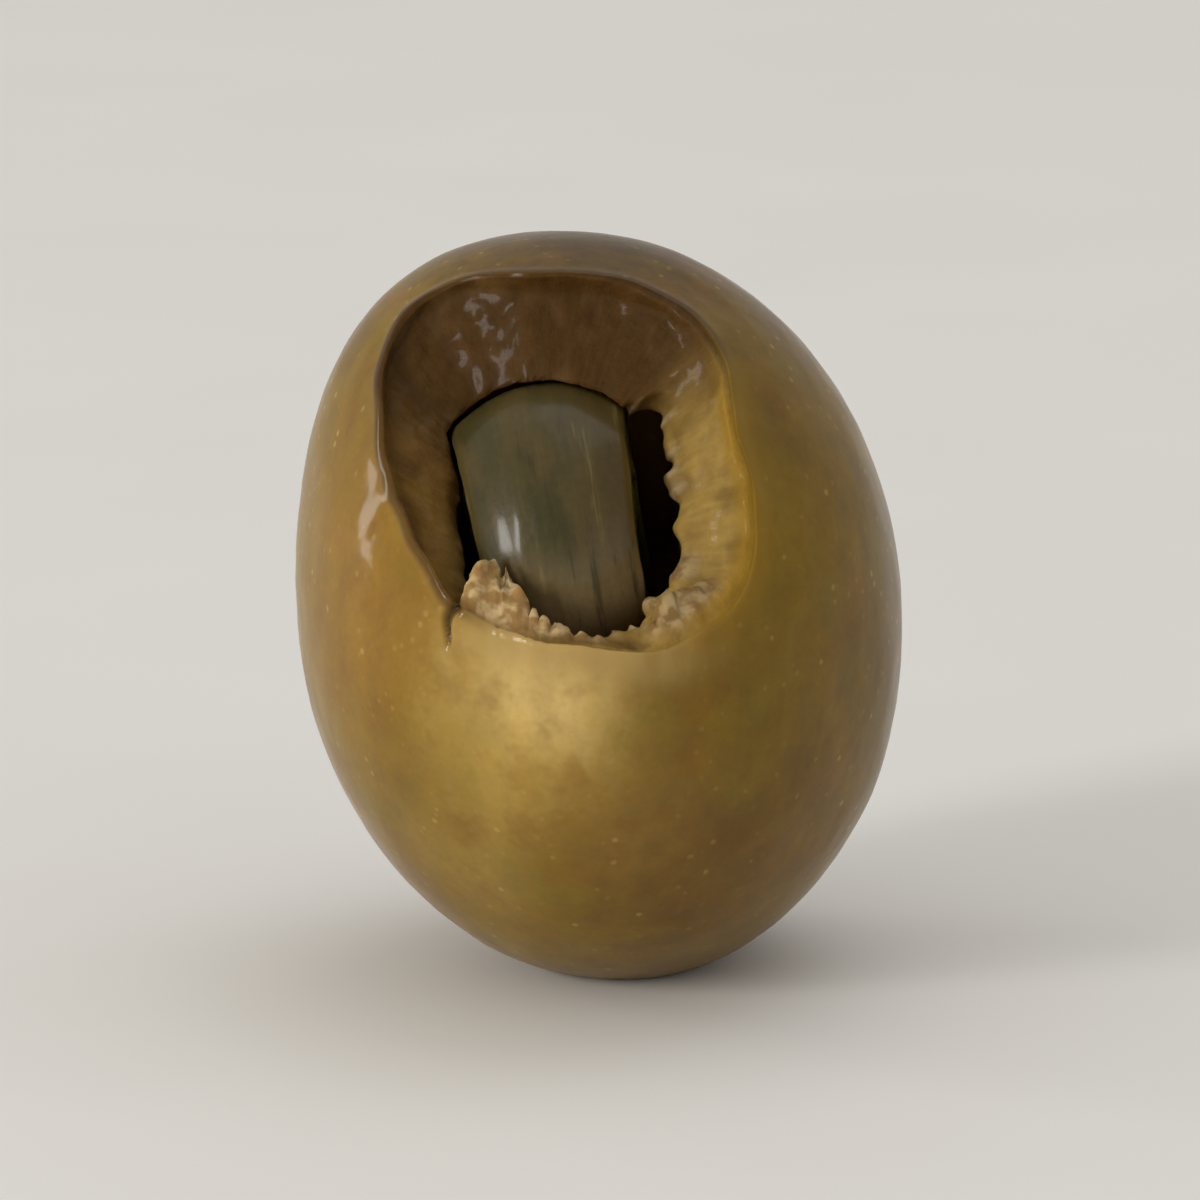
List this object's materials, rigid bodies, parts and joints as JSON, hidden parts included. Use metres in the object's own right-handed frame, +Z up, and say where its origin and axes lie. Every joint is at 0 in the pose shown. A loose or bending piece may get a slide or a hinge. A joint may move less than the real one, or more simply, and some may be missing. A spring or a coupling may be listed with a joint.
{
  "type": "stuffed olive",
  "caption": "Large green table olive, pitted, with a folded strip of pickled jalapeno pepper showing in its torn mouth.",
  "frame": {"origin": "centre of the small flat spot that the olive rests on", "axes": "+Z up, X across the olive's narrowest width, and -Y the side that the mouth faces: the pit's axis lies near the YZ plane and rises 40 degrees towards -Y"},
  "size_m": [0.0253, 0.0324, 0.0313],
  "materials": {
    "olive_flesh": "wet green olive skin, semi-gloss and slightly translucent",
    "pepper": "wet pickled green pepper skin, semi-gloss"
  },
  "bodies": {
    "root": {"olive": "olive_flesh", "jalapeno_strip": "pepper"}
  },
  "joints": []
}
